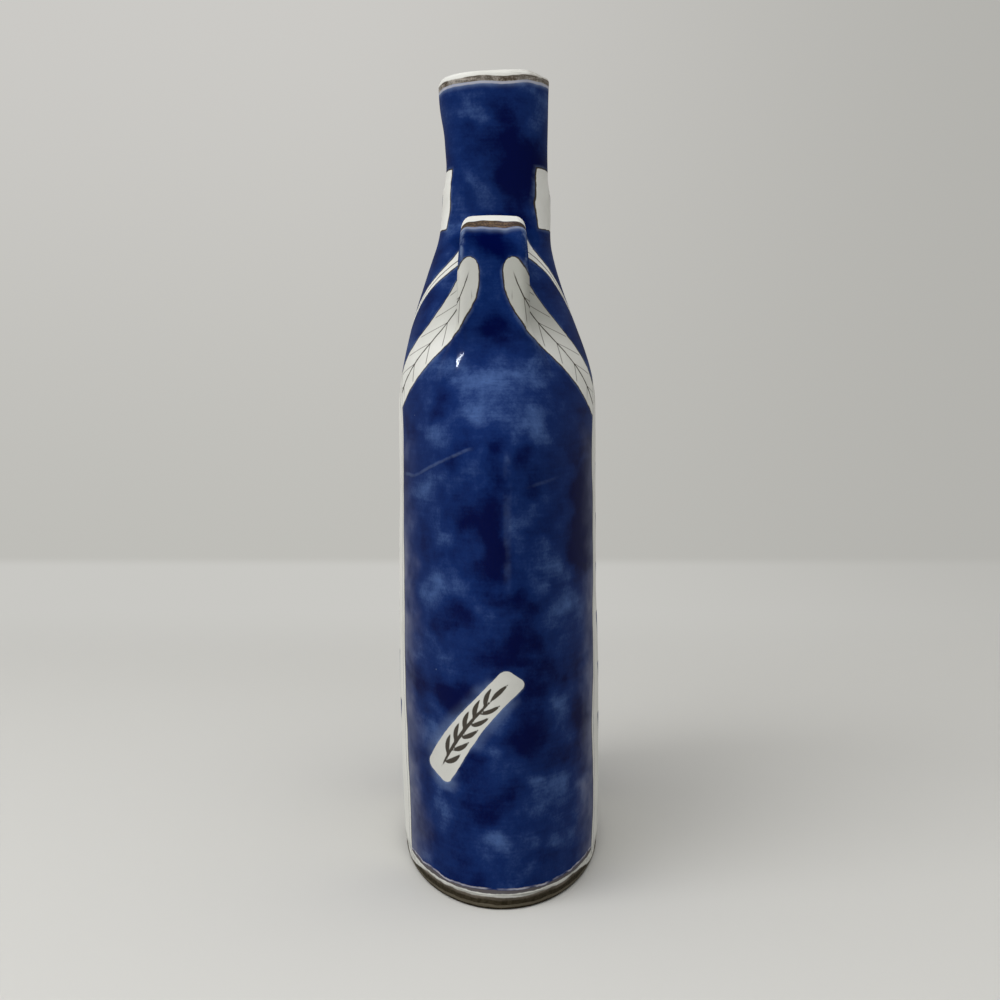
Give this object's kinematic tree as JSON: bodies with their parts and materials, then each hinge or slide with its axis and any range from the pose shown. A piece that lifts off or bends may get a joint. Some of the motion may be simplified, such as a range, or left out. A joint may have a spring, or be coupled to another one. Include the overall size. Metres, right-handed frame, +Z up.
{
  "type": "flask pitcher",
  "caption": "Tall glazed flask pitcher with a flat oval body, sloping shoulder, narrow neck with a pouring lip, and a strap handle on the shoulder.",
  "frame": {"origin": "middle of the flat underside, on the table", "axes": "+Z up, +X square to a broad face, +Y from the handle end towards the pouring lip"},
  "size_m": [0.0796, 0.194, 0.3095],
  "materials": {
    "brown_foot": "dry brown oxide on bare clay",
    "body_glaze": "glossy mottled cobalt glaze",
    "shoulder_glaze": "glossy mottled cobalt glaze",
    "neck_glaze": "glossy dark cobalt glaze",
    "rim_glaze": "glossy warm white glaze",
    "handle_glaze": "glossy dark cobalt glaze"
  },
  "bodies": {
    "root": {"base_slab": "brown_foot", "left_wall_half": "body_glaze", "right_wall_half": "body_glaze", "shoulder_cap": "shoulder_glaze", "neck_tube": "neck_glaze", "rim_coil": "rim_glaze", "handle_strap": "handle_glaze"}
  },
  "joints": []
}
